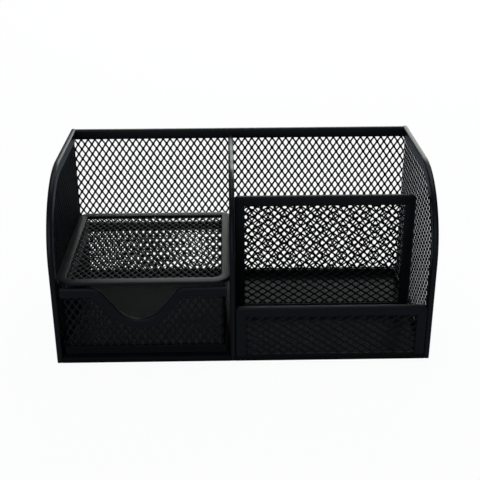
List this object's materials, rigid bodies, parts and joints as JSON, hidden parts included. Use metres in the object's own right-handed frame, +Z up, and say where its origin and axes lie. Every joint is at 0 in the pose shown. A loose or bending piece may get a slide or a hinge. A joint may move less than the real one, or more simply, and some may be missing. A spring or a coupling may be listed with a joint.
{
  "type": "desk organizer with drawer",
  "caption": "Expanded-metal mesh desk caddy with open bays on one side and a mesh shelf over a sliding drawer on the other.",
  "frame": {"origin": "middle of the footprint, on the desk", "axes": "+X to the right seen from the front, +Y to the rear, +Z up"},
  "size_m": [0.206, 0.1036, 0.1025],
  "materials": {
    "mesh_paint": "satin black powder coat on expanded steel mesh",
    "rim_paint": "satin black powder coat on folded steel strip",
    "sheet_paint": "satin black powder coat on sheet steel"
  },
  "bodies": {
    "caddy": {"floor_plate": "sheet_paint", "left_side_rim": "rim_paint", "right_side_rim": "rim_paint", "rear_rim": "rim_paint", "left_side_sill": "rim_paint", "right_side_sill": "rim_paint", "rear_sill": "rim_paint", "centre_divider_rim": "rim_paint", "middle_divider_rim": "rim_paint", "front_panel_rim": "rim_paint", "shelf_rim": "rim_paint", "left_side_mesh": "mesh_paint", "right_side_mesh": "mesh_paint", "rear_mesh": "mesh_paint", "centre_divider_mesh": "mesh_paint", "middle_divider_mesh": "mesh_paint", "front_panel_mesh": "mesh_paint", "shelf_mesh": "mesh_paint"},
    "drawer": {"drawer_pan": "sheet_paint", "drawer_front_rim": "rim_paint", "drawer_left_rim": "rim_paint", "drawer_right_rim": "rim_paint", "drawer_rear_rim": "rim_paint", "drawer_front_mesh": "mesh_paint", "drawer_left_mesh": "mesh_paint", "drawer_right_mesh": "mesh_paint", "drawer_rear_mesh": "mesh_paint"}
  },
  "joints": [
    {"name": "drawer_slide", "type": "slide", "parent": "caddy", "child": "drawer", "axis": [0, -1, 0], "range_m": [0, 0.07]}
  ]
}
